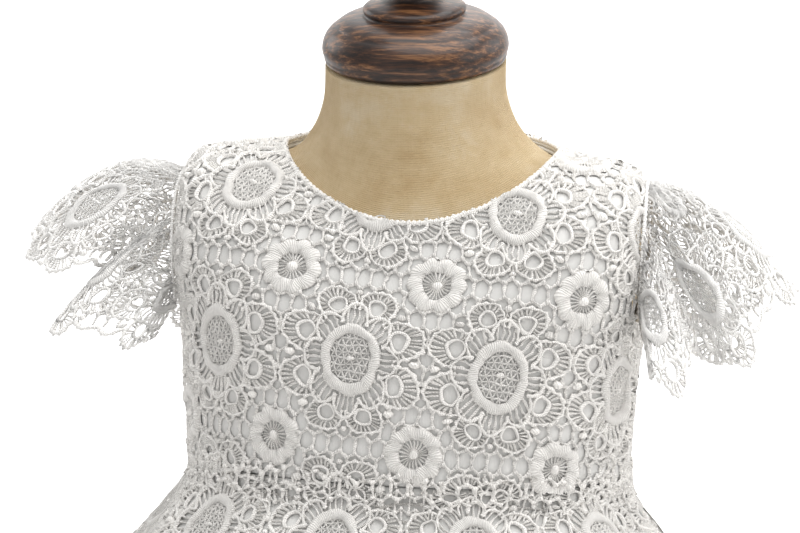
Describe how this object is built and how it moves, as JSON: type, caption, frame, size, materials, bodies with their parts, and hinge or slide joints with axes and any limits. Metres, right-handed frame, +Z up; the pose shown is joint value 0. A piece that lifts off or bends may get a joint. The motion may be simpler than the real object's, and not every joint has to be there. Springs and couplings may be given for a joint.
{
  "type": "christening gown on dress form",
  "caption": "Cap-sleeved baby gown of guipure lace over a plain lining, on a limbless linen dress form with a turned wooden neck cap, pole and round base.",
  "frame": {"origin": "middle of the round base's underside, on the pole's axis", "axes": "+Z up along the pole, -Y is the gown's front, +X is the wearer's left side"},
  "size_m": [0.4787, 0.4349, 0.6433],
  "materials": {
    "lace": "white cotton guipure lace, matte with a faint thread sheen",
    "lining": "white cotton lawn, matte",
    "linen": "natural linen, plain weave, matte",
    "wood": "dark brown turned hardwood, glossy",
    "button": "pearl white, glossy"
  },
  "bodies": {
    "root": {"back_placket": "lining", "bodice_lace_back_left": "lace", "bodice_lace_back_right": "lace", "bodice_lace_front": "lace", "bodice_lining_back_left": "lining", "bodice_lining_back_right": "lining", "bodice_lining_front": "lining", "button_1": "button", "button_2": "button", "button_3": "button", "button_4": "button", "form_neck_cap": "wood", "form_torso": "linen", "skirt_lace_back": "lace", "skirt_lace_front": "lace", "skirt_lining_back": "lining", "skirt_lining_front": "lining", "sleeve_left": "lace", "sleeve_right": "lace", "stand_base": "wood", "stand_pole": "wood"}
  },
  "joints": []
}
